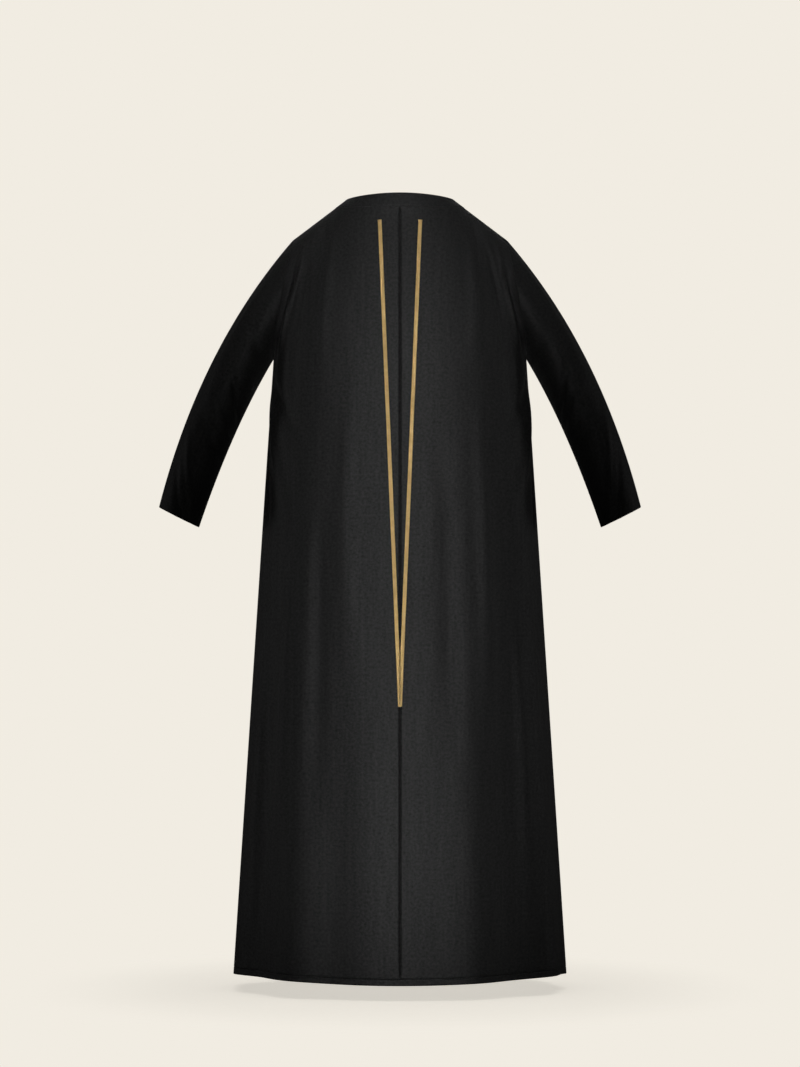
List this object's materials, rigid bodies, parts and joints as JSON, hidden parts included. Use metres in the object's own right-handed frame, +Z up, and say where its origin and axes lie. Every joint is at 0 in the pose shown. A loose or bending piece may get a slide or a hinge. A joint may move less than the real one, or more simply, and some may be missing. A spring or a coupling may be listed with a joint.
{
  "type": "abaya (worn robe)",
  "caption": "Full-length closed robe of black crepe, hollow as worn, with set-in sleeves, bound neck and hem, and gold braid down the front.",
  "frame": {"origin": "middle of the neck opening, level with the two side neck points, where the wearer's shoulders carry the robe", "axes": "+Z up, the robe faces -Y, and +X is the wearer's left"},
  "size_m": [0.888, 0.4495, 1.4439],
  "materials": {
    "crepe": "matte, fine pebbled crepe weave with a soft sheen",
    "gold_braid": "metallic thread, plaited flat"
  },
  "bodies": {
    "root": {"neck_band": "crepe", "front_right": "crepe", "front_left": "crepe", "back": "crepe", "sleeve_right": "crepe", "sleeve_left": "crepe", "hem_band": "crepe", "braid_right": "gold_braid", "braid_left": "gold_braid"}
  },
  "joints": []
}
